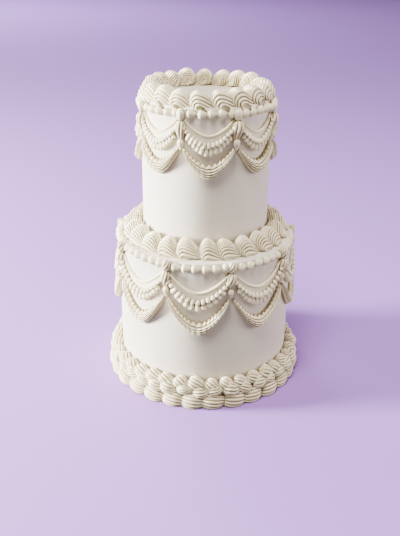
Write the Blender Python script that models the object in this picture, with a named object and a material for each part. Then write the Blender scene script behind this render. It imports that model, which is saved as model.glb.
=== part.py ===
"""A two-tier cake covered in smooth buttercream and piped all over in the vintage style.

Ridged shell borders run round the top edge and both feet, bead chains run along both top edges,
and draped swags with ruffles hang between piped columns on both walls.

Metres, +Z up, modelled in millimetres through MM. The origin is at the middle of the cake's base
and the front faces -Y. Angles are measured from the front, counter-clockwise seen from above, and
every border is piped that way round: each piece starts with a full head and ends in a thin tail.
"""

import math

import bmesh
import bpy

MM = 0.001

# Room left between pieces that touch
GAP = 0.3 * MM

# Tiers
LOWER_RADIUS = 91.0 * MM
LOWER_TOP = 156.5 * MM
UPPER_RADIUS = 64.6 * MM
UPPER_TOP = 297.0 * MM
TIER_SIDES = 48
EDGE_ROUNDING = 1.5 * MM

LOWER_WALL = LOWER_RADIUS + GAP
UPPER_WALL = UPPER_RADIUS + GAP

# Shell borders: how many, where the first one starts, and the size of a full shell
TOP_SHELLS, TOP_SHELL_START = 19, -11.3
TOP_SHELL_LINE = 55.5 * MM
TOP_SHELL_HALF_WIDTH, TOP_SHELL_HEIGHT = 11.2 * MM, 16.6 * MM
FOOT_SHELLS, FOOT_SHELL_START = 24, -2.6
FOOT_SHELL_WIDTH, FOOT_SHELL_HEIGHT = 17.6 * MM, 19.5 * MM
BASE_SHELLS, BASE_SHELL_START = 29, -11.8
BASE_SHELL_WIDTH, BASE_SHELL_HEIGHT = 16.0 * MM, 17.2 * MM
BASE_SHELL_BULGE = 6.0 * MM
BASE_SHELL_FULLNESS = 0.8

# How a shell swells and thins along its length: share of the length, share of the full size
LONG_SHELL_PRESSURE = ((0.0, 0.72), (0.18, 0.96), (0.45, 1.0), (0.8, 0.82))
SHELL_PRESSURE = ((0.0, 0.78), (0.24, 1.0), (0.64, 0.94))

# Scrolls piped alternately high and low between the base shells and the wall
SCROLLS, SCROLL_START = 39, -5.4
SCROLL_WIDTH, SCROLL_HALF_HEIGHT = 9.6 * MM, 6.6 * MM
SCROLL_HIGH, SCROLL_LOW = 27.0 * MM, 24.7 * MM

# Bead chains under both top edges
BEAD_PRESSURE = ((0.12, 1.0), (0.8, 0.42))
UPPER_BEAD_LINE, UPPER_BEADS = 291.6 * MM, 5
UPPER_BEAD_WIDTH, UPPER_BEAD_HALF_HEIGHT = 4.6 * MM, 4.1 * MM
LOWER_BEAD_LINE, LOWER_BEADS = 151.6 * MM, 6
LOWER_BEAD_WIDTH, LOWER_BEAD_HALF_HEIGHT = 4.8 * MM, 4.5 * MM

# Under a column the bead chain thins to a link
LINK_SIZE = 0.13

# Swags: how many, the angle of the middle of the front one, and heights at the middle and ends
UPPER_SWAGS, UPPER_SWAG_MIDDLE = 8, 3.4
LOWER_SWAGS, LOWER_SWAG_MIDDLE = 9, -3.0

COLUMN_HALF_WIDTH = 4.1 * MM
COLUMN_DEPTH = 4.8 * MM

# A column's drops from top to bottom: share of the height, share of the full size
COLUMN_PRESSURE = (
    (0.0, 0.45), (0.12, 1.0), (0.29, 0.5), (0.42, 1.15), (0.68, 0.45), (0.78, 0.8), (1.0, 0.15),
)

DRAPE_DROPS = 9
PANEL_DEPTH = 2.6 * MM
DROP_DEPTH = 4.2 * MM
DROP_NOTCH = 2.4 * MM

RUFFLE_WAVES = 6
RUFFLE_SWAY = 0.9 * MM
RUFFLE_DEPTH = 4.4 * MM


class Swag:
    """The heights that one swag hangs between, at its middle and at its ends."""

    def __init__(self, wall, count, drape_top, drape_foot, ruffle_top, ruffle_foot, column):
        self.wall = wall
        self.half_angle = math.pi / count
        self.drape_top = drape_top
        self.drape_foot = drape_foot
        self.ruffle_top = ruffle_top
        self.ruffle_foot = ruffle_foot
        self.column = column

    def height(self, levels, share):
        """Height at a share of the half span, 0 in the middle and 1 at the end."""
        middle, end = levels
        return middle + (end - middle) * abs(share) ** 2


UPPER_SWAG = Swag(
    UPPER_WALL, UPPER_SWAGS,
    drape_top=(272.7 * MM, 286.0 * MM), drape_foot=(253.4 * MM, 273.5 * MM),
    ruffle_top=(245.4 * MM, 263.5 * MM), ruffle_foot=(231.5 * MM, 256.5 * MM),
    column=(296.9 * MM, 256.5 * MM),
)
LOWER_SWAG = Swag(
    LOWER_WALL, LOWER_SWAGS,
    drape_top=(127.2 * MM, 144.5 * MM), drape_foot=(105.8 * MM, 131.0 * MM),
    ruffle_top=(93.8 * MM, 122.0 * MM), ruffle_foot=(79.8 * MM, 115.0 * MM),
    column=(159.5 * MM, 118.0 * MM),
)


def clear_scene():
    for obj in list(bpy.data.objects):
        bpy.data.objects.remove(obj)


def icing(name, colour, roughness):
    material = bpy.data.materials.new(name)
    material.use_nodes = True
    shader = material.node_tree.nodes["Principled BSDF"]
    shader.inputs["Base Color"].default_value = (*colour, 1.0)
    shader.inputs["Roughness"].default_value = roughness
    shader.inputs["Metallic"].default_value = 0.0
    return material


def collection(name):
    group = bpy.data.collections.new(name)
    bpy.context.scene.collection.children.link(group)
    return group


def on_wall(radius, angle, height):
    """A point at an angle in radians round the cake."""
    return (radius * math.sin(angle), -radius * math.cos(angle), height)


def squared(value, fullness):
    """A sine or cosine pushed outwards, so that an oval fills more of its box."""
    return math.copysign(abs(value) ** fullness, value)


def fan(width, height, start, end, ridges, depth, bulge=0.0, fullness=1.0):
    """The nozzle's outline: ridges spread over an arc, with grooves between them."""
    steps = 2 * ridges - 2
    points = []
    for step in range(steps + 1):
        angle = math.radians(start + (end - start) * step / steps)
        reach = 1.0 if step % 2 == 0 else 1.0 - depth
        x = width * reach * squared(math.cos(angle), fullness)
        y = bulge + (height - bulge) * reach * squared(math.sin(angle), fullness)
        points.append((x, y))
    return points


def nozzle(name, points, group):
    """A closed outline that a piped line sweeps: x runs out from the wall and y up it.

    The points go clockwise, so that the swept faces point out.
    """
    curve = bpy.data.curves.new(name, "CURVE")
    curve.dimensions = "2D"
    spline = curve.splines.new("POLY")
    spline.points.add(len(points) - 1)
    for point, (x, y) in zip(spline.points, reversed(points)):
        point.co = (x, y, 0.0, 1.0)
    spline.use_cyclic_u = True
    outline = bpy.data.objects.new(name, curve)
    outline.hide_render = True
    outline.display_type = "WIRE"
    group.objects.link(outline)
    return outline


def piped_line(name, stations, outline, material, closed):
    """A curve that sweeps the nozzle's outline; each station is a point and a pressure."""
    curve = bpy.data.curves.new(name, "CURVE")
    curve.dimensions = "3D"
    curve.twist_mode = "Z_UP"
    curve.bevel_mode = "OBJECT"
    curve.bevel_object = outline
    curve.use_fill_caps = not closed
    spline = curve.splines.new("POLY")
    spline.points.add(len(stations) - 1)
    for point, (place, pressure) in zip(spline.points, stations):
        point.co = (*place, 1.0)
        point.radius = pressure
    spline.use_cyclic_u = closed
    curve.materials.append(material)
    return curve


def add_object(name, data, group, angle=0.0):
    obj = bpy.data.objects.new(name, data)
    obj.rotation_euler.z = math.radians(angle)
    group.objects.link(obj)
    return obj


def tier(name, radius, foot, top, material, group):
    """A round layer of cake with a crisp top edge."""
    bpy.ops.mesh.primitive_cylinder_add(
        vertices=TIER_SIDES, radius=radius, depth=top - foot, location=(0.0, 0.0, (top + foot) / 2)
    )
    obj = bpy.context.active_object
    obj.name = name
    for owner in obj.users_collection:
        owner.objects.unlink(obj)
    group.objects.link(obj)

    mesh = obj.data
    mesh.materials.append(material)
    form = bmesh.new()
    form.from_mesh(mesh)
    form.edges.ensure_lookup_table()
    rim = [edge for edge in form.edges if all(vert.co.z > 0 for vert in edge.verts)]
    bmesh.ops.bevel(form, geom=rim, offset=EDGE_ROUNDING, segments=1, affect="EDGES")
    form.to_mesh(mesh)
    form.free()
    mesh.shade_smooth()
    mesh.set_sharp_from_angle(angle=math.radians(40))
    return obj


def border(radius, height, count, start, pressures):
    """Stations of a closed line of equal pieces, each with the same run of pressures."""
    stations = []
    for piece in range(count):
        for share, pressure in pressures:
            angle = math.radians(start) + 2 * math.pi * (piece + share) / count
            stations.append((on_wall(radius, angle, height), pressure))
    return stations


def scroll_stations():
    """A line that climbs the wall and falls back to the base shells once for each scroll."""
    turns = ((0.0, SCROLL_HIGH, 0.95), (0.27, None, 0.7), (0.5, SCROLL_LOW, 1.06), (0.8, None, 0.72))
    stations = []
    for piece in range(SCROLLS):
        for share, height, pressure in turns:
            angle = math.radians(SCROLL_START) + 2 * math.pi * (piece + share) / SCROLLS
            level = (SCROLL_HIGH + SCROLL_LOW) / 2 if height is None else height
            stations.append((on_wall(LOWER_WALL, angle, level), pressure))
    return stations


def bead_stations(wall, height, swags, middle, beads):
    """Beads between neighbouring columns, and a thin link under each column."""
    span = 2 * math.pi / swags
    link = COLUMN_HALF_WIDTH * 1.25 / wall
    pitch = (span - 2 * link) / beads
    stations = []
    for swag in range(swags):
        first = math.radians(middle) + span * (swag - 0.5) + link
        for bead in range(beads):
            for share, pressure in BEAD_PRESSURE:
                last = bead == beads - 1 and share > 0.5
                size = LINK_SIZE if last else pressure
                place = on_wall(wall, first + pitch * (bead + 0.3 + share * 0.7), height)
                stations.append((place, size))
        stations.append((on_wall(wall, first + pitch * beads + 2 * link, height), LINK_SIZE))
    return stations


def column_curve(swag, outline, bead_line, material, name):
    """A column laid along +X, ready to be turned so that +X points down the wall."""
    top, foot = swag.column
    stations = []
    for share, pressure in COLUMN_PRESSURE:
        stations.append(((share * (top - foot), -column_offset(swag, share, bead_line), 0.0), pressure))
    return piped_line(name, stations, outline, material, closed=False)


def column_offset(swag, share, bead_line):
    """How far a column's back is from the axis. It steps out over the bead chain's link."""
    top, foot = swag.column
    height = top - share * (top - foot)
    crosses = abs(height - bead_line) < 9 * MM
    return swag.wall + (LINK_SIZE * LOWER_BEAD_WIDTH + GAP if crosses else 0.0)


def drape_mesh(swag, name, material):
    """A smooth crescent panel that hangs in a row of drops along its lower edge."""
    columns = 2 * DRAPE_DROPS
    reach = swag.half_angle - (COLUMN_HALF_WIDTH * 1.2 + GAP) / swag.wall
    form = bmesh.new()
    sections = []
    for column in range(columns + 1):
        share = 2 * column / columns - 1
        angle = reach * share
        top = swag.height(swag.drape_top, share)
        foot = swag.height(swag.drape_foot, share)
        is_drop = column % 2 == 1
        depth = DROP_DEPTH if is_drop else DROP_DEPTH * 0.6
        notch = 0.0 if is_drop else DROP_NOTCH
        corners = (
            on_wall(swag.wall, angle, top),
            on_wall(swag.wall + PANEL_DEPTH, angle, top - 1.2 * MM),
            on_wall(swag.wall + depth, angle, foot + 4.2 * MM),
            on_wall(swag.wall, angle, foot + notch),
        )
        sections.append([form.verts.new(corner) for corner in corners])
    for left, right in zip(sections, sections[1:]):
        for corner in range(4):
            after = (corner + 1) % 4
            form.faces.new((left[corner], left[after], right[after], right[corner]))
    form.faces.new(reversed(sections[0]))
    form.faces.new(sections[-1])
    bmesh.ops.recalc_face_normals(form, faces=form.faces)
    mesh = bpy.data.meshes.new(name)
    form.to_mesh(mesh)
    form.free()
    mesh.materials.append(material)
    return mesh


def ruffle_curve(swag, outline, material, name):
    """A garland that sways up and down as it follows the swag's curve."""
    steps = 2 * RUFFLE_WAVES
    reach = swag.half_angle - (COLUMN_HALF_WIDTH * 1.2 + 2 * GAP) / swag.wall
    full = (swag.ruffle_top[0] - swag.ruffle_foot[0]) / 2
    stations = []
    for step in range(steps + 1):
        share = 2 * step / steps - 1
        top = swag.height(swag.ruffle_top, share)
        foot = swag.height(swag.ruffle_foot, share)
        slope = math.sqrt(1 - 0.35 * abs(share))
        sway = RUFFLE_SWAY * (1 if step % 2 else -1) * slope
        place = on_wall(swag.wall, reach * share, (top + foot) / 2 + sway)
        stations.append((place, (top - foot) / 2 / full * slope))
    return piped_line(name, stations, outline, material, closed=False)


def add_borders(group, outlines, material):
    """The three shell borders and the scrolls above the lowest one."""
    top = nozzle("top_shell_outline", fan(
        TOP_SHELL_HALF_WIDTH, TOP_SHELL_HEIGHT, 0, 180, ridges=5, depth=0.14), outlines)
    foot = nozzle("foot_shell_outline", [(0.0, 0.0)] + fan(
        FOOT_SHELL_WIDTH, FOOT_SHELL_HEIGHT, 0, 90, ridges=4, depth=0.13), outlines)
    drop = BASE_SHELL_BULGE / (BASE_SHELL_HEIGHT - BASE_SHELL_BULGE)
    low = -math.degrees(math.asin(drop ** (1 / BASE_SHELL_FULLNESS)))
    base = nozzle("base_shell_outline", [(0.0, 0.0)] + fan(
        BASE_SHELL_WIDTH, BASE_SHELL_HEIGHT, low, 90, ridges=4, depth=0.12,
        bulge=BASE_SHELL_BULGE, fullness=BASE_SHELL_FULLNESS), outlines)
    scroll = nozzle("scroll_outline", fan(
        SCROLL_WIDTH, SCROLL_HALF_HEIGHT, -90, 90, ridges=3, depth=0.05, fullness=0.6), outlines)

    lines = (
        ("top_shell_border", top, border(
            TOP_SHELL_LINE, UPPER_TOP + GAP, TOP_SHELLS, TOP_SHELL_START, LONG_SHELL_PRESSURE)),
        ("foot_shell_border", foot, border(
            UPPER_WALL, LOWER_TOP + GAP, FOOT_SHELLS, FOOT_SHELL_START, SHELL_PRESSURE)),
        ("base_shell_border", base, border(
            LOWER_WALL, 0.0, BASE_SHELLS, BASE_SHELL_START, SHELL_PRESSURE)),
        ("base_scroll_border", scroll, scroll_stations()),
    )
    for name, outline, stations in lines:
        add_object(name, piped_line(name, stations, outline, material, closed=True), group)


def add_beads(group, outlines, material):
    """The bead chains under the top edges of both tiers."""
    upper = nozzle("upper_bead_outline", fan(
        UPPER_BEAD_WIDTH, UPPER_BEAD_HALF_HEIGHT, -90, 90, ridges=3, depth=0.0), outlines)
    lower = nozzle("lower_bead_outline", fan(
        LOWER_BEAD_WIDTH, LOWER_BEAD_HALF_HEIGHT, -90, 90, ridges=3, depth=0.0), outlines)
    upper_stations = bead_stations(
        UPPER_WALL, UPPER_BEAD_LINE, UPPER_SWAGS, UPPER_SWAG_MIDDLE, UPPER_BEADS)
    lower_stations = bead_stations(
        LOWER_WALL, LOWER_BEAD_LINE, LOWER_SWAGS, LOWER_SWAG_MIDDLE, LOWER_BEADS)
    for name, outline, stations in (
        ("upper_bead_chain", upper, upper_stations),
        ("lower_bead_chain", lower, lower_stations),
    ):
        add_object(name, piped_line(name, stations, outline, material, closed=True), group)


def add_swags(group, outlines, prefix, swag, count, middle, bead_line, material):
    """Every drape, ruffle and column on one tier's wall."""
    half_ruffle = (swag.ruffle_top[0] - swag.ruffle_foot[0]) / 2
    ruffle_outline = nozzle(f"{prefix}_ruffle_outline", fan(
        RUFFLE_DEPTH, half_ruffle, -90, 90, ridges=3, depth=0.22), outlines)
    column_outline = nozzle(f"{prefix}_column_outline", fan(
        COLUMN_DEPTH, COLUMN_HALF_WIDTH, -90, 90, ridges=3, depth=0.1), outlines)

    drape = drape_mesh(swag, f"{prefix}_drape", material)
    ruffle = ruffle_curve(swag, ruffle_outline, material, f"{prefix}_ruffle")
    column = column_curve(swag, column_outline, bead_line, material, f"{prefix}_column")
    pitch = 360 / count
    for place in range(count):
        angle = middle + pitch * place
        add_object(f"{prefix}_drape_{place + 1}", drape, group, angle)
        add_object(f"{prefix}_ruffle_{place + 1}", ruffle, group, angle)
        post = add_object(f"{prefix}_column_{place + 1}", column, group, angle + pitch / 2)
        post.rotation_euler.y = math.radians(90)
        post.location.z = swag.column[0]


def main():
    clear_scene()
    cake = collection("piped_cake")
    outlines = collection("nozzle_outlines")
    smooth = icing("smooth_icing", (0.86, 0.82, 0.74), 0.55)
    piped = icing("piped_icing", (0.88, 0.83, 0.72), 0.5)

    tier("lower_tier", LOWER_RADIUS, 0.0, LOWER_TOP, smooth, cake)
    tier("upper_tier", UPPER_RADIUS, LOWER_TOP + GAP, UPPER_TOP, smooth, cake)
    add_borders(cake, outlines, piped)
    add_beads(cake, outlines, piped)
    add_swags(cake, outlines, "upper", UPPER_SWAG, UPPER_SWAGS, UPPER_SWAG_MIDDLE,
              UPPER_BEAD_LINE, piped)
    add_swags(cake, outlines, "lower", LOWER_SWAG, LOWER_SWAGS, LOWER_SWAG_MIDDLE,
              LOWER_BEAD_LINE, piped)


main()
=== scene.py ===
"""The looks of a tall tiered cake in cream buttercream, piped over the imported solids."""

import math

import bpy
import numpy as np
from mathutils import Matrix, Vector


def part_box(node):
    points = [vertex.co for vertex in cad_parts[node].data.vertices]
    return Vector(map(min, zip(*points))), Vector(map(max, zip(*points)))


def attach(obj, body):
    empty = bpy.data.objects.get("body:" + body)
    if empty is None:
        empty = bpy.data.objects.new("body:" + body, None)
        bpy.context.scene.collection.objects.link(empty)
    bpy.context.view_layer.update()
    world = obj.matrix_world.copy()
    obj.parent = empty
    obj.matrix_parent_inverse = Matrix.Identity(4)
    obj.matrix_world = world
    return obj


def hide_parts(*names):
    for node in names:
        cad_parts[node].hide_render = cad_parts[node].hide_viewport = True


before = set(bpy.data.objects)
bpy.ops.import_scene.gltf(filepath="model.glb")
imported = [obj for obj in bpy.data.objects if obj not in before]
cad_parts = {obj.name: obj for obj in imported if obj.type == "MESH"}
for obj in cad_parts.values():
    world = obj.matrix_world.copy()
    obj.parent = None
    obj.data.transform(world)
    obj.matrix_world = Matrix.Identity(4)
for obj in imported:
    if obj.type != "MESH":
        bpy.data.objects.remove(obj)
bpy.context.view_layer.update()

MM = 0.001
FULL_TURN = 2 * math.pi
SINK = 0.4                  # mm that a piece is pressed into what it was piped on
SEED = 41

# Mesh steps. Those across a ridge are even in number, so that each groove has its own edge.
RIDGE_STEPS = 6             # across a ridge of a shell or a ruffle
STROKE_STEPS = 4            # across a ridge of a stroke
SMOOTH_STEPS = 12           # round a stroke with no ridges
SHELL_STEPS = 32            # along each ridge of a shell
CURVE_STEPS = 200           # along a hanging curve, to measure it
PANEL_STATIONS = 33         # across a drape's panel
PANEL_STEPS = 30            # round its section
RUFFLE_STATIONS = 112       # along a ruffle
RUFFLE_BACK_STEPS = 6       # up its back
COAT_STEPS = 180            # round a tier
COAT_ROWS = 32              # up its wall

# Relief of the ridges
RIDGE_SHARPNESS = 0.9       # power of a cosine, and less makes sharper grooves
FAINT_RIDGE = 0.3           # share of a ridge's relief that is left on a shell's crown
SPIKE_SHARE = 0.25          # share of a stroke's spine, over which the spikes of its head fade

# Borders. Lengths are in millimetres and angles in degrees, as in the solids.
SHELL_LEAD = 0.1            # of the way to the next shell, that each begins before its place

TOP_SHELLS = 19
TOP_SHELL_START = -14.2
TOP_SHELL_LINE = 55.5       # radius of the circle that they stand on
TOP_SHELL_LENGTH = 24.6
TOP_SHELL_HEIGHT = 15.5
TOP_SHELL_DIP = 0.8         # lower at the front, and higher at the back
TOP_SHELL_LIMIT = 16.1      # so that none is higher than its solid
TOP_SHELL_HALF_WIDTH = 11.0
TOP_SHELL_RIDGES = 11
TOP_SHELL_DROOP = 5.5       # of the front of a shell, over the tier's edge

FOOT_SHELLS = 24
FOOT_SHELL_START = -4.2
FOOT_SHELL_LINE = 74.4
FOOT_SHELL_SPREAD = (1.8, 2.4)      # further out at the left and at the right
FOOT_SHELL_LENGTH = 25.0
FOOT_SHELL_HEIGHT = 17.2
FOOT_SHELL_HALF_WIDTH = 9.8
FOOT_SHELL_RIDGES = 13
FOOT_SHELL_LEAN = 0.2       # mm towards the wall, for each mm up

# A spine's points are mm across, up and out, and the girths are the radii along it.
BASE_SHELLS = 29
BASE_SHELL_START = -9.7
BASE_SHELL_LINE = 98.9
BASE_SHELL_MIDDLE = 0.4     # of the way to the next shell, from a shell's place to its spine's origin
BASE_SHELL_LEVEL = 5.6
BASE_SHELL_SPINE = ((-11, 0.4, -1.4), (-6.5, 0.2, -0.7), (1, 0, -0.5), (8, -0.4, -1.9), (14, -1, -4.6))
BASE_SHELL_GIRTH = (8.4, 11.2, 11.2, 7.6, 3.0)
BASE_SHELL_FLATNESS = 0.68
BASE_SHELL_RIDGES = 16

SCROLLS = 39
SCROLL_START = -9.4
SCROLL_RIDGES = 12
HIGH_SCROLL_LEVEL = 22.4
HIGH_SCROLL_SPINE = ((-4.6, 3.6, 2.4), (-1.0, 2.2, 4.2), (3.6, -0.8, 4.6), (8.6, -4.4, 4.4))
HIGH_SCROLL_GIRTH = (6.2, 7.6, 6.4, 4.4)
LOW_SCROLL_LEVEL = 18.4
LOW_SCROLL_SHIFT = 2.6      # degrees on from the high one
LOW_SCROLL_SPINE = ((-6.0, 1.6, 4.2), (-1.6, 1.0, 6.8), (3.6, -0.4, 6.8), (8.6, 0.6, 5.0))
LOW_SCROLL_GIRTH = (6.0, 7.6, 6.2, 3.2)

# Side of a shell as shares of its length and height: a round head, then a tail to the right.
# Its ridges pass from that outline to a small hook round the heart, point by point.
SHELL_SIDE = ((1.0, 0.1), (0.91, 0.28), (0.77, 0.53), (0.59, 0.83), (0.39, 1.0), (0.2, 0.96),
              (0.06, 0.73), (0.0, 0.42), (0.05, 0.1), (0.22, 0.0), (0.5, 0.0), (0.8, 0.0))
TOP_HOOK = ((1.0, 0.0), (0.85, 0.01), (0.72, 0.06), (0.62, 0.19), (0.53, 0.37), (0.45, 0.47),
            (0.38, 0.45), (0.38, 0.33), (0.43, 0.2), (0.5, 0.09), (0.6, 0.02), (0.8, 0.0))
FOOT_HOOK = ((1.0, 0.02), (0.87, 0.03), (0.73, 0.04), (0.58, 0.06), (0.45, 0.09), (0.36, 0.11),
             (0.3, 0.09), (0.29, 0.06), (0.32, 0.03), (0.42, 0.01), (0.58, 0.0), (0.8, 0.0))

# A bead's spine as shares of its radius, with a point towards the next bead
BEAD_SPINE = ((-1, 0, 0.25), (-0.4, 0, 0.27), (0.2, 0, 0.22), (0.9, 0, 0.1), (1.7, 0, 0))

# A drape's panel in section: shares of its height downwards, and mm out from the wall.
PANEL_SECTION = ((0.01, -SINK), (-0.01, 1.7), (0.0, 2.7), (0.04, 3.1), (0.09, 2.8), (0.15, 2.3),
                 (0.4, 2.0), (0.68, 2.1), (0.88, 2.3), (1.0, 1.8), (1.02, 0.8), (1.0, -SINK))
PANEL_SHARE = 0.55          # of the drape's height, above its rows of drops

# Its rows: shares of its height downwards and of its half width, and mm out from the wall.
PEARL_ROW = (0.47, 0.95, 3.6)
DROP_ROW = (0.74, 0.8, 2.2)
DROP_TURN = 0.22            # of the slope that a drop hangs on, that it is turned by

SWAG_FULLNESS = 1.8         # 1 would hang in two straight lines, and 2 is a parabola
COLUMN_HALF_WIDTH = 2.4

# A ruffle and its crimps. Lengths are in millimetres.
RUFFLE_RIDGES = 5
RUFFLE_WAVE = 5.0           # from one crimp to the next
RUFFLE_EDGE_DEPTH = 0.6     # out from the wall at its edges
RUFFLE_DEPTH = 6.0          # from there out to its middle
RUFFLE_GROOVE = 0.38        # share of that depth that is lost in the grooves
RUFFLE_NICK = 0.5           # further in along every groove, at its edges too
RUFFLE_EDGE = 1 / 6         # of its face and of its half width, where its edges and ends take shape
RUFFLE_SAG = 0.25           # down from its heights, about as far as the sway lifts it on average
CRIMP_DRIFT = 0.12          # of a wave, by which the crimps are unevenly spaced
CRIMP_DRIFT_RUN = 5.0       # along the ruffle for each radian of that drift
CRIMP_DEPTH = 0.9           # further out
CRIMP_SPIKE = 2.5           # up from the top edge
CRIMP_SCALLOP = 0.9         # down from the lower edge
CRIMP_SWAY = 0.7            # up, and half as far to the right

# Coats of the tiers
EDGE_ROUNDING = 1.5         # mm
COAT_INSET = 0.12           # mm inside the solid, as room for the scraper's waves
SCRAPER_WAVES = 14

# The camera that was fitted to the photograph: mm of lens, metres and degrees
LENS = 46.37
EYE = (0.0, -0.6806, 0.4284)
EYE_TURN = (64.934, -0.544, 0.661)


class Lumps:
    """Closed lumps of icing, gathered to become one mesh."""

    def __init__(self):
        self.points = []
        self.reliefs = []
        self.faces = []
        self.total = 0

    def add(self, rings, start, end, relief):
        """A closed lump: rings of points, a point at either end, and 0 in grooves to 1 on ridges."""
        count, around = rings.shape[:2]
        index = self.total + np.arange(count * around).reshape(count, around)
        beside = np.roll(index, -1, axis=1)
        sides = np.stack((index[:-1], beside[:-1], beside[1:], index[1:]), axis=-1).reshape(-1, 4)
        first = self.total + count * around
        last = first + 1
        caps = [(first, b, a) for a, b in zip(index[0], beside[0])]
        caps += [(last, a, b) for a, b in zip(index[-1], beside[-1])]
        points = np.concatenate((rings.reshape(-1, 3), [start, end]))
        if enclosed(points, sides - self.total) < 0:
            sides = sides[:, ::-1]
            caps = [cap[::-1] for cap in caps]
        self.points.append(points)
        self.reliefs.append(np.concatenate((relief.reshape(-1), [relief[0].mean(), relief[-1].mean()])))
        self.faces += sides.tolist() + [tuple(int(corner) for corner in cap) for cap in caps]
        self.total += len(points)

    def add_at(self, spot, rings, relief):
        """A lump at a spot, closed by the middles of its first and last rings."""
        start, end = rings[0].mean(axis=0), rings[-1].mean(axis=0)
        self.add(spot.world(rings), spot.world(start), spot.world(end), relief)

    def piece(self, name, node, material):
        """Makes the mesh, which stands for a CAD node and rides on its body."""
        mesh = bpy.data.meshes.new(name)
        mesh.from_pydata((np.concatenate(self.points) * MM).tolist(), [], self.faces)
        mesh.shade_smooth()
        # The relief also carries painted shade: the material darkens the grooves by it.
        relief = mesh.attributes.new("relief", "FLOAT", "POINT")
        relief.data.foreach_set("value", np.concatenate(self.reliefs))
        mesh.materials.append(material)
        piece = bpy.data.objects.new(name, mesh)
        bpy.context.scene.collection.objects.link(piece)
        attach(piece, "root")
        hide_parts(node)


def enclosed(points, quads):
    """Six times the volume inside the quads, below zero where they face inwards."""
    middle = points.mean(axis=0)
    a, b, c, d = (points[quads[:, corner]] - middle for corner in range(4))
    return (np.cross(a, b) * c).sum() + (np.cross(a, c) * d).sum()


class Spot:
    """A place round the cake where something is piped: across to the right, up and out."""

    def __init__(self, radius, angle, height, wall=None, floor=None, edge=math.inf, turn=0.0, lean=0.0):
        self.radius = radius
        self.angle = math.radians(angle)
        self.height = height
        self.wall = wall        # radius that nothing goes far inside
        self.floor = floor      # height that nothing goes below, out to the edge
        self.edge = edge        # radius where that floor ends
        self.turn = math.radians(turn)
        self.lean = lean        # mm towards the axis, for each mm up

    def world(self, points):
        """Millimetres across, up and out become millimetres in the cake's frame."""
        across, up, out = points[..., 0], points[..., 1], points[..., 2]
        cos, sin = math.cos(self.turn), math.sin(self.turn)
        across, up = cos * across - sin * up, sin * across + cos * up
        radius = self.radius + out - self.lean * up
        height = self.height + up
        if self.wall is not None:
            radius = np.maximum(radius, self.wall - SINK)
        if self.floor is not None:
            height = np.where(radius < self.edge, np.maximum(height, self.floor), height)
        angle = self.angle + across / self.radius
        return np.stack((radius * np.sin(angle), -radius * np.cos(angle), height), axis=-1)


def smooth(points, shares, closed=False):
    """Points of a smooth curve through the given ones, at shares from 0 to 1 of its run."""
    points = np.asarray(points, dtype=float)
    count = len(points)
    runs = count if closed else count - 1
    place = np.clip(np.asarray(shares, dtype=float), 0, 1) * runs
    run = np.minimum(place.astype(int), runs - 1)
    t = (place - run)[:, None]
    if closed:
        near = [points[(run + step) % count] for step in (-1, 0, 1, 2)]
    else:
        padded = np.concatenate(([2 * points[0] - points[1]], points, [2 * points[-1] - points[-2]]))
        near = [padded[run + step] for step in (0, 1, 2, 3)]
    a, b, c, d = near
    return 0.5 * (2 * b + (c - a) * t + (2 * a - 5 * b + 4 * c - d) * t**2
                  + (3 * b - a - 3 * c + d) * t**3)


def rise(value, start, span):
    """0 up to the start, then evenly up to 1 over the span."""
    return np.clip((value - start) / span, 0, 1)


def ridge(phase):
    """1 along the middle of each ridge and 0 in the sharp grooves halfway between whole phases."""
    return np.abs(np.cos(np.pi * phase)) ** RIDGE_SHARPNESS


def leftward(angle):
    """1 at the left of the cake, 0 at its front and back, and -1 at its right."""
    return -math.sin(math.radians(angle))


def shell(lumps, spot, length, height, half_width, hook, ridges, depth, crown, slim, rng, droop=0.0):
    """A star-nozzle shell: its ridges rise round its heart, fade on its crown and meet in its tail.

    Its rings follow the ridges, from its back over the crown to its front. The crown, from 0 to 1,
    is how far round they stay faint, slim is the share of its width that the tail loses, and droop
    is how many millimetres its front hangs down.
    """
    phase = np.arange(1, RIDGE_STEPS * ridges) / RIDGE_STEPS - ridges / 2
    tilt = np.pi * phase / ridges
    along = np.arange(SHELL_STEPS) / SHELL_STEPS
    outer = smooth(SHELL_SIDE, along, closed=True) * (length, height)
    inner = smooth(hook, along, closed=True) * (length, height)
    outer *= (1 + 0.02 * np.sin(3 * FULL_TURN * along + rng.uniform(0, FULL_TURN)))[:, None]
    inner += rng.normal(0, 0.35, 2) * (inner[:, 1:] > 0.1 * height)

    facing = rise(np.abs(np.sin(tilt)), crown, 0.3)[:, None]
    tail = rise(outer[:, 0] / length, 0.5, 0.3)
    shown = FAINT_RIDGE + (1 - FAINT_RIDGE) * np.maximum(facing, tail)
    relief = 1 - (1 - ridge(phase)[:, None]) * shown
    groove = 1 - depth * (1 - relief)
    reach = (np.cos(tilt)[:, None] ** 0.85 * groove)[..., None]
    flat = inner + (outer - inner) * reach
    narrow = 1 - slim * rise(flat[..., 0] / length, 0.4, 0.6) ** 1.3
    out = half_width * np.sin(tilt)[:, None] * groove * narrow
    rings = np.concatenate((flat, out[..., None]), axis=-1)
    heart = inner.mean(axis=0)
    ends = np.array([(*heart, -half_width), (*heart, half_width)])
    for points in (rings, ends):
        points[..., 1] -= droop * rise(points[..., 2] / half_width, 0.45, 0.55)
    start, end = spot.world(ends)
    lumps.add(spot.world(rings), start, end, relief)


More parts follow.
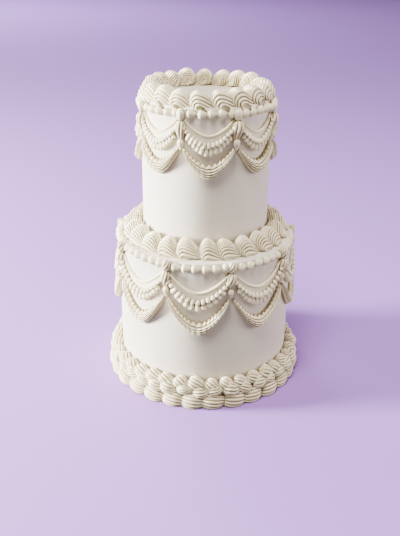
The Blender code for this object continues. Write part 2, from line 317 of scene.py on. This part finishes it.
def stroke(lumps, spot, spine, girth, ridges=0, depth=0.0, twist=0.0, flatness=1.0,
           stations=22, head=0.2, tail=0.1, spikes=0.0, plain=0.0):
    """A squeeze of icing along a spine, with round ends and lengthwise ridges.

    Depth is the share of its radius that the grooves take away, twist is in radians from end to end,
    flatness is its thickness as a share of its width, and head and tail are the shares of the spine
    that its ends are rounded over. Its head can have spikes, or be plain for a share of the spine
    before the ridges rise.
    """
    share = 0.5 - 0.5 * np.cos(np.pi * np.arange(stations + 2) / (stations + 1))
    line = smooth(spine, share)
    along = np.gradient(line, axis=0)
    along /= np.linalg.norm(along, axis=1)[:, None]
    out = np.array((0.0, 0.0, 1.0)) - along[:, 2:] * along
    out /= np.linalg.norm(out, axis=1)[:, None]
    beside = np.cross(along, out)

    size = smooth(np.asarray(girth, dtype=float)[:, None], share)[:, 0]
    size *= np.sqrt(1 - (1 - np.minimum(share / head, 1)) ** 2)
    size *= np.sqrt(1 - (1 - np.minimum((1 - share) / tail, 1)) ** 2)

    inside = share[1:-1, None]
    around = max(STROKE_STEPS * ridges, SMOOTH_STEPS)
    step = np.arange(around) / around
    relief = (ridge(step * ridges) if ridges else np.ones(around)) * np.ones((stations, 1))
    if plain:
        relief = 1 - (1 - relief) * rise(inside, plain / 2, plain / 2)
    radius = size[1:-1, None] * (1 - depth * (1 - relief))
    turn = FULL_TURN * step + twist * inside
    rings = (line[1:-1, None]
             + (radius * np.cos(turn) * flatness)[..., None] * out[1:-1, None]
             + (radius * np.sin(turn))[..., None] * beside[1:-1, None])
    spike = spikes * relief**2 * (1 - rise(inside, 0, SPIKE_SHARE))
    rings -= spike[..., None] * along[0]
    lumps.add(spot.world(rings), spot.world(line[0]), spot.world(line[-1]), relief)


def top_shells(material, rng):
    """The border on the top edge, with its front ends over the edge."""
    lumps = Lumps()
    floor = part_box("upper_tier")[1].z / MM
    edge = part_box("upper_tier")[1].x / MM
    pitch = 360 / TOP_SHELLS
    for place in range(TOP_SHELLS):
        size = rng.normal(1, 0.035)
        angle = TOP_SHELL_START + pitch * (place - SHELL_LEAD) + rng.normal(0, 0.45)
        spot = Spot(TOP_SHELL_LINE + rng.normal(0, 0.4), angle, floor, floor=floor - SINK, edge=edge,
                    turn=rng.normal(0, 3))
        height = min((TOP_SHELL_HEIGHT - TOP_SHELL_DIP * math.cos(spot.angle)) * size, TOP_SHELL_LIMIT)
        shell(lumps, spot, TOP_SHELL_LENGTH * size, height, TOP_SHELL_HALF_WIDTH, TOP_HOOK,
              TOP_SHELL_RIDGES, rng.uniform(0.26, 0.32), crown=0.42, slim=0.5, rng=rng,
              droop=TOP_SHELL_DROOP)
    lumps.piece("top_shells", "top_shell_border", material)


def foot_shells(material, rng):
    """The border on the ledge, against the foot of the upper tier."""
    lumps = Lumps()
    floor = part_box("lower_tier")[1].z / MM
    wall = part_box("upper_tier")[1].x / MM
    pitch = 360 / FOOT_SHELLS
    at_left, at_right = FOOT_SHELL_SPREAD
    for place in range(FOOT_SHELLS):
        angle = FOOT_SHELL_START + pitch * (place - SHELL_LEAD) + rng.normal(0, 0.6)
        side = leftward(angle)
        spread = max(at_left * side, -at_right * side) * abs(side)
        size = rng.normal(1, 0.03)
        spot = Spot(FOOT_SHELL_LINE + spread, angle, floor, wall=wall, floor=floor - SINK,
                    turn=rng.normal(0, 3), lean=FOOT_SHELL_LEAN)
        shell(lumps, spot, FOOT_SHELL_LENGTH * size, (FOOT_SHELL_HEIGHT + 0.4 * spread) * size,
              FOOT_SHELL_HALF_WIDTH + 0.5 * spread, FOOT_HOOK, FOOT_SHELL_RIDGES,
              rng.uniform(0.22, 0.27), crown=0.0, slim=0.35, rng=rng)
    lumps.piece("foot_shells", "foot_shell_border", material)


def base_shells(material, rng):
    """The long shells round the base."""
    lumps = Lumps()
    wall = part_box("lower_tier")[1].x / MM
    pitch = 360 / BASE_SHELLS
    for place in range(BASE_SHELLS):
        size = rng.normal(1, 0.02)
        angle = BASE_SHELL_START + pitch * (place + BASE_SHELL_MIDDLE) + rng.normal(0, 0.5)
        spot = Spot(BASE_SHELL_LINE, angle, BASE_SHELL_LEVEL, wall=wall, floor=0.0,
                    turn=rng.normal(-1, 2))
        stroke(lumps, spot, BASE_SHELL_SPINE, size * np.array(BASE_SHELL_GIRTH),
               ridges=BASE_SHELL_RIDGES, depth=rng.uniform(0.2, 0.25), twist=rng.normal(0.3, 0.1),
               flatness=BASE_SHELL_FLATNESS, head=0.07, tail=0.1, stations=28,
               spikes=rng.uniform(1.4, 2.8))
    lumps.piece("base_shells", "base_shell_border", material)


def base_scrolls(material, rng):
    """High and low scrolls by turns, between the long shells and the wall."""
    lumps = Lumps()
    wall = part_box("lower_tier")[1].x / MM
    pitch = 360 / SCROLLS
    for place in range(SCROLLS):
        angle = SCROLL_START + pitch * (place - 0.5) + rng.normal(0, 0.5)
        size = rng.normal(1, 0.07)
        spot = Spot(wall, angle, HIGH_SCROLL_LEVEL + rng.normal(0, 0.6), wall=wall,
                    turn=rng.normal(0, 9))
        stroke(lumps, spot, HIGH_SCROLL_SPINE, size * np.array(HIGH_SCROLL_GIRTH),
               ridges=SCROLL_RIDGES, depth=0.3, twist=rng.normal(0.5, 0.4), head=0.24, tail=0.15,
               stations=24, spikes=rng.uniform(0.8, 2.0))
        size = rng.normal(1, 0.08)
        spot = Spot(wall, angle + LOW_SCROLL_SHIFT + rng.normal(0, 0.4),
                    LOW_SCROLL_LEVEL + rng.normal(0, 0.8), wall=wall, turn=rng.normal(0, 16))
        stroke(lumps, spot, LOW_SCROLL_SPINE, size * np.array(LOW_SCROLL_GIRTH),
               ridges=SCROLL_RIDGES, depth=0.28, twist=rng.normal(-0.8, 0.5), head=0.4, tail=0.15,
               stations=24, plain=rng.uniform(0.15, 0.6))
    lumps.piece("base_scrolls", "base_scroll_border", material)


class Swag:
    """What hangs on one tier's wall. Pairs of heights are at a swag's middle and at its ends."""

    def __init__(self, tier, count, middle, beads, bead_size, climb, tuck, pearls, drops, drape_top,
                 drape_foot, ruffle_top, ruffle_foot, column):
        self.tier = tier
        self.count = count
        self.middle = middle        # degrees to the middle of the front swag
        self.beads = beads          # in the chain above each swag
        self.bead_size = bead_size  # their radius
        self.climb = climb          # mm that the beads rise towards the rim on the left
        self.tuck = tuck            # mm that they sit further in at either side
        self.pearls = pearls        # how many in a row, their half width and half height
        self.drops = drops          # the same
        self.drape_top = drape_top
        self.drape_foot = drape_foot
        self.ruffle_top = ruffle_top
        self.ruffle_foot = ruffle_foot
        self.column = column        # heights of its top and its foot

        self.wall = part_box(f"{tier}_tier")[1].x / MM
        lowest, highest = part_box(f"{tier}_bead_chain")
        self.bead_line = (lowest.z + highest.z) / 2 / MM
        self.pitch = 360 / count
        self.reach = self.wall * math.radians(self.pitch) / 2 - COLUMN_HALF_WIDTH

    def level(self, heights, share):
        """A height at a share of the way from the swag's middle to its end."""
        middle, end = heights
        return middle + (end - middle) * np.abs(share) ** SWAG_FULLNESS

    def run(self, share, level):
        """Millimetres along a curve on the wall, from its first point to each of them."""
        steps = np.hypot(np.diff(share) * self.reach, np.diff(level))
        return np.concatenate(([0.0], np.cumsum(steps)))

    def along_curve(self, heights, count, trim=1.0):
        """Shares of the half width, evenly spaced along a hanging curve, and its slopes there."""
        share = np.linspace(-trim, trim, CURVE_STEPS)
        level = self.level(heights, share)
        run = self.run(share, level)
        places = np.interp(np.linspace(0, run[-1], count), run, share)
        slopes = np.interp(places, share, np.gradient(level, share * self.reach))
        return places, slopes


UPPER = Swag("upper", count=8, middle=2.0, beads=5, bead_size=4.3, climb=0.0, tuck=0.6,
             pearls=(15, 2.0, 2.9), drops=(11, 2.5, 4.4), drape_top=(272.7, 287.4),
             drape_foot=(253.4, 273.0), ruffle_top=(243.8, 260.5), ruffle_foot=(231.8, 256.0),
             column=(296.9, 256.5))
LOWER = Swag("lower", count=9, middle=-3.6, beads=6, bead_size=4.5, climb=4.0, tuck=2.8,
             pearls=(15, 2.25, 3.0), drops=(12, 2.75, 4.6), drape_top=(127.2, 146.0),
             drape_foot=(105.8, 130.5), ruffle_top=(92.4, 119.5), ruffle_foot=(80.2, 114.5),
             column=(158.5, 118.0))


def bead_chain(swag, material, rng):
    """Beads under the tier's top edge, in groups between the columns."""
    lumps = Lumps()
    size = swag.bead_size
    spine = size * np.array(BEAD_SPINE)
    for place in range(swag.count):
        for share in np.linspace(0.95 / swag.beads, 0.92, swag.beads):
            angle = swag.middle + swag.pitch * (place + share - 0.5) + rng.normal(0, 0.25)
            side = leftward(angle)
            level = swag.bead_line + swag.climb * max(side, 0) ** 2 + rng.normal(0, 0.25)
            spot = Spot(swag.wall - swag.tuck * side**2, angle, level, turn=rng.normal(0, 3))
            plump = rng.normal(1, 0.03)
            girth = np.array((0.85 * plump, plump, 0.82 * plump, 0.42, 0.12))
            stroke(lumps, spot, spine, size * girth, head=0.3, tail=0.1, stations=14)
    lumps.piece(f"{swag.tier}_beads", f"{swag.tier}_bead_chain", material)


def panel(lumps, swag, angle):
    """A drape's hanging panel, with a raised lip."""
    share = np.linspace(-1, 1, PANEL_STATIONS)
    top = swag.level(swag.drape_top, share)
    foot = swag.level(swag.drape_foot, share)
    section = smooth(PANEL_SECTION, np.arange(PANEL_STEPS) / PANEL_STEPS, closed=True)
    down, out = section[:, 0], np.maximum(section[:, 1], -SINK)
    up = top[:, None] - ((top - foot) * PANEL_SHARE)[:, None] * down
    across = share[:, None] * swag.reach * np.ones_like(up)
    thin = (1 - 0.35 * np.abs(share) ** 6)[:, None]
    rings = np.stack((across, up, np.where(out > 0, out * thin, out)), axis=-1)
    # Painted shade: the panel is a little darker where it lies low against the wall.
    relief = 0.85 + 0.15 * rise(out, 1.5, 1)
    lumps.add_at(Spot(swag.wall, angle, 0.0), rings, relief * np.ones((PANEL_STATIONS, 1)))


def drop_row(lumps, swag, angle, row, drops, rng):
    """A row of drops along a hanging curve on a drape, smaller towards its ends."""
    down, trim, out = row
    count, half_width, half_height = drops
    heights = [top + (foot - top) * down for top, foot in zip(swag.drape_top, swag.drape_foot)]
    plump = rng.uniform(0.88, 1.12)
    places, slopes = swag.along_curve(heights, round(count / plump), trim)
    for place, slope in zip(places, slopes):
        small = 1 - 0.4 * min(1.2 * abs(place), 1) ** 1.5
        half = half_height / plump * small * rng.normal(1, 0.06)
        spot = Spot(swag.wall, angle + math.degrees(place * swag.reach / swag.wall),
                    float(swag.level(heights, place)) + rng.normal(0, 0.15), wall=swag.wall,
                    turn=math.degrees(math.atan(slope)) * DROP_TURN + rng.normal(0, 4))
        spine = ((0.0, half, out * 0.7), (0.0, half * 0.3, out), (0.0, -half * 0.4, out * 1.1),
                 (0.0, -half, out))
        width = half_width * plump * (1 - 0.12 * place**2) * rng.normal(1, 0.05)
        rounding = min(width / half * 0.5, 0.48)
        stroke(lumps, spot, spine, (width * 0.8, width * 0.95, width * 1.06, width), head=rounding,
               tail=rounding, stations=10)


def drape(swag, number, material, rng):
    """A panel with a row of drops below it and a row of pearls along its lower edge."""
    lumps = Lumps()
    angle = swag.middle + swag.pitch * number
    panel(lumps, swag, angle)
    drop_row(lumps, swag, angle, DROP_ROW, swag.drops, rng)
    drop_row(lumps, swag, angle, PEARL_ROW, swag.pearls, rng)
    lumps.piece(f"{swag.tier}_drape_icing_{number + 1}", f"{swag.tier}_drape_{number + 1}", material)


def ruffle(swag, number, material, rng):
    """A ridged garland that is crimped at every short wave, with pointed edges."""
    share, _ = swag.along_curve(swag.ruffle_foot, RUFFLE_STATIONS)
    top = swag.level(swag.ruffle_top, share)
    foot = swag.level(swag.ruffle_foot, share)
    run = swag.run(share, (top + foot) / 2)
    wave = run / RUFFLE_WAVE + rng.uniform(0, 1)
    wave += CRIMP_DRIFT * np.sin(run / CRIMP_DRIFT_RUN + rng.uniform(0, 6))
    crest = np.abs(np.cos(np.pi * wave))
    ends = rise(1 - np.abs(share), 0, RUFFLE_EDGE) ** 0.5
    middle = (1 - np.abs(share)) ** 0.7

    face = np.linspace(0, 1, RIDGE_STEPS * RUFFLE_RIDGES + 1)
    relief = ridge(face * RUFFLE_RIDGES - 0.5)
    bulge = (1 - np.abs(2 * face - 1) ** 2.4) ** 0.6
    spike = (CRIMP_SPIKE * crest**1.8 * ends)[:, None] * (1 - rise(face, 0, RUFFLE_EDGE))
    scallop = (CRIMP_SCALLOP * crest * ends)[:, None] * rise(face, 1 - RUFFLE_EDGE, RUFFLE_EDGE)
    sway = (CRIMP_SWAY * crest * middle)[:, None]
    up = top[:, None] + (foot - top)[:, None] * face + spike - scallop + sway - RUFFLE_SAG
    depth = (RUFFLE_DEPTH + CRIMP_DEPTH * crest * middle) * (0.45 + 0.55 * ends)
    out = RUFFLE_EDGE_DEPTH + bulge * depth[:, None] * (1 - RUFFLE_GROOVE * (1 - relief))
    out -= RUFFLE_NICK * (1 - relief)
    across = share[:, None] * swag.reach
    front = np.stack(((across + sway / 2) * np.ones_like(up), up, out), axis=-1)
    back_up = np.linspace(foot, top, RUFFLE_BACK_STEPS, axis=1)
    back = np.stack((across * np.ones_like(back_up), back_up, np.full_like(back_up, -SINK)), axis=-1)

    shades = np.concatenate((relief, np.zeros(RUFFLE_BACK_STEPS))) * np.ones((RUFFLE_STATIONS, 1))
    spot = Spot(swag.wall, swag.middle + swag.pitch * number, 0.0, wall=swag.wall)
    lumps = Lumps()
    lumps.add_at(spot, np.concatenate((front, back), axis=1), shades)
    lumps.piece(f"{swag.tier}_ruffle_icing_{number + 1}", f"{swag.tier}_ruffle_{number + 1}", material)


def column(swag, number, material, rng):
    """Three squeezes one under another between two swags."""
    top, foot = swag.column

    def down(share):
        """The height at a share of the way from the column's top to its foot."""
        return top - share * (top - foot)

    lumps = Lumps()
    angle = swag.middle + swag.pitch * (number + 0.5) + rng.normal(0, 0.3)
    spot = Spot(swag.wall, angle, 0.0, wall=swag.wall)
    size = rng.normal(1, 0.06)
    if swag.tier == "upper":
        spine = ((0, top, 2.4), (0.2, down(0.13), 3.2), (0, down(0.29), 1.6))
        stroke(lumps, spot, spine, (2.6 * size, 3.7 * size, 2.8), head=0.4, tail=0.3, stations=14)
        twist = 0.5
    else:
        spine = ((-0.5, top, 1.8), (0.6, down(0.12), 2.8), (-0.3, down(0.3), 2.0))
        stroke(lumps, spot, spine, (3.6 * size, 4.7 * size, 3.4), ridges=7, depth=0.26, twist=2.6,
               head=0.35, tail=0.25, stations=20)
        twist = 1.5
    spine = ((0, down(0.28), 2.4), (0.2, down(0.42), 3.4), (0, down(0.56), 2.2), (0, down(0.72), 0.8))
    stroke(lumps, spot, spine, (3.8 * size, 5.1 * size, 4.2 * size, 2.4), ridges=8, depth=0.32,
           twist=twist, head=0.2, tail=0.12, stations=22)
    spine = ((0, down(0.69), 1.8), (-0.2, down(0.78), 2.6), (0, down(0.88), 1.4), (0, foot, 0.6))
    stroke(lumps, spot, spine, (2.3, 2.9, 2.4, 1.4), head=0.3, tail=0.2, stations=14)
    lumps.piece(f"{swag.tier}_column_icing_{number + 1}", f"{swag.tier}_column_{number + 1}", material)


def tier(name, material, rng):
    """A tier's smooth coat, with the faint waves that a scraper leaves."""
    lowest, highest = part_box(name)
    radius = highest.x / MM
    bottom, top = lowest.z / MM, highest.z / MM
    flat = radius - EDGE_ROUNDING
    shoulder = top - EDGE_ROUNDING
    profile = [(share * flat, bottom) for share in np.linspace(0.1, 1, 8)]
    profile += [(radius, level) for level in np.linspace(bottom + 0.6, shoulder, COAT_ROWS)]
    profile += [(flat + EDGE_ROUNDING * math.cos(bend), shoulder + EDGE_ROUNDING * math.sin(bend))
                for bend in np.radians((22.5, 45, 67.5, 90))]
    profile += [(share * flat, top) for share in np.linspace(0.96, 0.04, 10)]
    profile = np.array(profile)
    reach, level = profile[:, 0, None], profile[:, 1, None]

    turn = FULL_TURN * np.arange(COAT_STEPS) / COAT_STEPS
    waves = np.zeros((len(profile), COAT_STEPS))
    for _ in range(SCRAPER_WAVES):
        turns = rng.integers(1, 16)
        climb = rng.uniform(-0.05, 0.05)
        height = rng.uniform(0.01, 0.05)
        waves += height * np.sin(turns * turn + climb * level + rng.uniform(0, FULL_TURN))
    spread = reach - COAT_INSET + waves * (reach > 0.9 * radius)
    rings = np.stack((spread * np.sin(turn), -spread * np.cos(turn), level * np.ones_like(spread)),
                     axis=-1)
    lumps = Lumps()
    lumps.add(rings, (0, 0, bottom), (0, 0, top), np.ones_like(spread))
    lumps.piece(f"{name}_coat", name, material)


def icing(name, light, groove_shade, crevice_shade, nearness, roughness, grain, streak):
    """Buttercream: cream, with painted shade that makes it darker and warmer in its grooves and where
    other icing is near, and with soft blotches and a fine grain.

    The crevice shade is painted where other icing is nearer than so many millimetres. Grain is the
    strength of its bumps, and a streak below 1 stretches its patterns upwards.
    """
    material = bpy.data.materials.new(name)
    material.use_nodes = True
    nodes = material.node_tree.nodes
    links = material.node_tree.links
    shader = nodes["Principled BSDF"]
    place = nodes.new("ShaderNodeTexCoord")
    stretch = nodes.new("ShaderNodeMapping")
    stretch.inputs["Scale"].default_value = (1.0, 1.0, streak)
    links.new(place.outputs["Object"], stretch.inputs["Vector"])

    # Painted shade: the grooves, where the relief is low, take a darker and warmer colour.
    relief = nodes.new("ShaderNodeAttribute")
    relief.attribute_name = "relief"
    depth = nodes.new("ShaderNodeMapRange")
    depth.interpolation_type = "SMOOTHSTEP"
    depth.inputs["From Min"].default_value = 0.2
    depth.inputs["From Max"].default_value = 0.95
    links.new(relief.outputs["Fac"], depth.inputs["Value"])
    shade = nodes.new("ShaderNodeMix")
    shade.data_type = "RGBA"
    shade.inputs["A"].default_value = (*groove_shade, 1.0)
    shade.inputs["B"].default_value = (*light, 1.0)
    links.new(depth.outputs["Result"], shade.inputs["Factor"])

    # Painted shade: where other icing is near, the colour turns darker and warmer, as shade falls in
    # crevices and recesses.
    nearby = nodes.new("ShaderNodeAmbientOcclusion")
    nearby.samples = 8
    nearby.inputs["Distance"].default_value = nearness * MM
    open_to_light = nodes.new("ShaderNodeMapRange")
    open_to_light.interpolation_type = "SMOOTHSTEP"
    open_to_light.inputs["From Min"].default_value = 0.15
    open_to_light.inputs["From Max"].default_value = 0.62
    links.new(nearby.outputs["AO"], open_to_light.inputs["Value"])
    crevice = nodes.new("ShaderNodeMix")
    crevice.data_type = "RGBA"
    crevice.inputs["A"].default_value = (*crevice_shade, 1.0)
    links.new(shade.outputs["Result"], crevice.inputs["B"])
    links.new(open_to_light.outputs["Result"], crevice.inputs["Factor"])

    blotch = nodes.new("ShaderNodeTexNoise")
    blotch.inputs["Scale"].default_value = 45.0
    blotch.inputs["Detail"].default_value = 3.0
    links.new(stretch.outputs["Vector"], blotch.inputs["Vector"])
    tint = nodes.new("ShaderNodeValToRGB")
    tint.color_ramp.elements[0].position = 0.3
    tint.color_ramp.elements[0].color = (0.955, 0.95, 0.935, 1.0)
    tint.color_ramp.elements[1].position = 0.7
    tint.color_ramp.elements[1].color = (1.0, 1.0, 1.0, 1.0)
    links.new(blotch.outputs["Fac"], tint.inputs["Fac"])
    colour = nodes.new("ShaderNodeMix")
    colour.data_type = "RGBA"
    colour.blend_type = "MULTIPLY"
    colour.inputs["Factor"].default_value = 1.0
    links.new(crevice.outputs["Result"], colour.inputs["A"])
    links.new(tint.outputs["Color"], colour.inputs["B"])
    links.new(colour.outputs["Result"], shader.inputs["Base Color"])

    gloss = nodes.new("ShaderNodeMapRange")
    gloss.inputs["To Min"].default_value = roughness - 0.06
    gloss.inputs["To Max"].default_value = roughness + 0.08
    links.new(blotch.outputs["Fac"], gloss.inputs["Value"])
    links.new(gloss.outputs["Result"], shader.inputs["Roughness"])

    fine = nodes.new("ShaderNodeTexNoise")
    fine.inputs["Scale"].default_value = 700.0
    fine.inputs["Detail"].default_value = 4.0
    links.new(stretch.outputs["Vector"], fine.inputs["Vector"])
    bump = nodes.new("ShaderNodeBump")
    bump.inputs["Strength"].default_value = grain
    bump.inputs["Distance"].default_value = 0.4 * MM
    links.new(fine.outputs["Fac"], bump.inputs["Height"])
    links.new(bump.outputs["Normal"], shader.inputs["Normal"])

    shader.inputs["Subsurface Weight"].default_value = 0.12
    shader.inputs["Subsurface Radius"].default_value = (1.0, 0.75, 0.5)
    shader.inputs["Subsurface Scale"].default_value = 2.0 * MM
    shader.inputs["IOR"].default_value = 1.42
    return material


def paper_floor():
    """A plain pale lilac floor, which fills the background of the photograph's view."""
    bpy.ops.mesh.primitive_circle_add(vertices=96, radius=9.0, fill_type="NGON",
                                      location=(0, 0, -0.4 * MM))
    disc = bpy.context.object
    disc.name = "pale_floor"
    material = bpy.data.materials.new("pale_lilac_paper")
    material.use_nodes = True
    nodes = material.node_tree.nodes
    links = material.node_tree.links
    shader = nodes["Principled BSDF"]
    shader.inputs["Roughness"].default_value = 0.85
    noise = nodes.new("ShaderNodeTexNoise")
    noise.inputs["Scale"].default_value = 3.0
    ramp = nodes.new("ShaderNodeValToRGB")
    ramp.color_ramp.elements[0].color = (0.375, 0.185, 0.67, 1.0)
    ramp.color_ramp.elements[1].color = (0.385, 0.195, 0.68, 1.0)
    links.new(noise.outputs["Fac"], ramp.inputs["Fac"])
    links.new(ramp.outputs["Color"], shader.inputs["Base Color"])
    disc.data.materials.append(material)
    disc.visible_diffuse = False        # so that no lilac light rises onto the icing


def light(name, place, aim, size, power, colour):
    """A round lamp of so many metres and watts, turned to face a point."""
    data = bpy.data.lights.new(name, "AREA")
    data.shape = "DISK"
    data.size = size
    data.energy = power
    data.color = colour
    lamp = bpy.data.objects.new(name, data)
    lamp.location = place
    direction = [a - p for a, p in zip(aim, place)]
    flat = math.hypot(direction[0], direction[1])
    lamp.rotation_euler = (math.atan2(flat, -direction[2]), 0, math.atan2(-direction[0], direction[1]))
    bpy.context.scene.collection.objects.link(lamp)


def studio():
    """A strong light from the left, weak ones from above and the right, and one on the far floor.

    The dim sky lights what they leave in shadow.
    """
    cake = (0, 0, 0.16)
    light("key", place=(-1.85, -0.08, 0.5), aim=(0, 0, 0.14), size=0.5, power=290.0,
          colour=(1.0, 0.97, 0.9))
    light("high", place=(-0.35, -0.7, 1.7), aim=cake, size=0.7, power=45.0, colour=(1.0, 0.93, 0.84))
    light("fill", place=(1.6, 0.1, 0.5), aim=cake, size=1.0, power=24.0, colour=(1.0, 0.85, 0.9))
    light("backdrop", place=(-2.4, 4.2, 2.6), aim=(-1.6, 4.2, 0), size=2.0, power=270.0,
          colour=(1.0, 0.97, 1.0))
    world = bpy.data.worlds.new("soft_room")
    world.use_nodes = True
    sky = world.node_tree.nodes["Background"]
    sky.inputs["Color"].default_value = (1.0, 0.88, 0.82, 1.0)
    sky.inputs["Strength"].default_value = 0.3
    bpy.context.scene.world = world


def camera():
    """The photograph's view: from the front, a little above the cake."""
    data = bpy.data.cameras.new("photo_view")
    data.lens = LENS
    data.sensor_width = 36.0
    eye = bpy.data.objects.new("photo_view", data)
    eye.location = EYE
    eye.rotation_euler = [math.radians(turn) for turn in EYE_TURN]
    bpy.context.scene.collection.objects.link(eye)
    bpy.context.scene.camera = eye


def main():
    """Builds the view, the room and all the pieces, which take random numbers from one stream."""
    rng = np.random.default_rng(SEED)
    camera()
    studio()
    paper_floor()
    # Both icings carry painted shade: darker, warmer colours in the grooves and where other icing is
    # near.
    coat = icing("smooth_buttercream", light=(0.86, 0.81, 0.72), groove_shade=(0.86, 0.81, 0.72),
                 crevice_shade=(0.62, 0.52, 0.34), nearness=8.0, roughness=0.5, grain=0.12, streak=0.12)
    piped = icing("piped_buttercream", light=(1.0, 0.94, 0.70), groove_shade=(0.40, 0.30, 0.13),
                  crevice_shade=(0.34, 0.24, 0.10), nearness=5.0, roughness=0.38, grain=0.2, streak=1.0)

    tier("lower_tier", coat, rng)
    tier("upper_tier", coat, rng)
    top_shells(piped, rng)
    foot_shells(piped, rng)
    base_shells(piped, rng)
    base_scrolls(piped, rng)
    for swag in (UPPER, LOWER):
        bead_chain(swag, piped, rng)
        for number in range(swag.count):
            drape(swag, number, piped, rng)
            ruffle(swag, number, piped, rng)
            column(swag, number, piped, rng)


main()
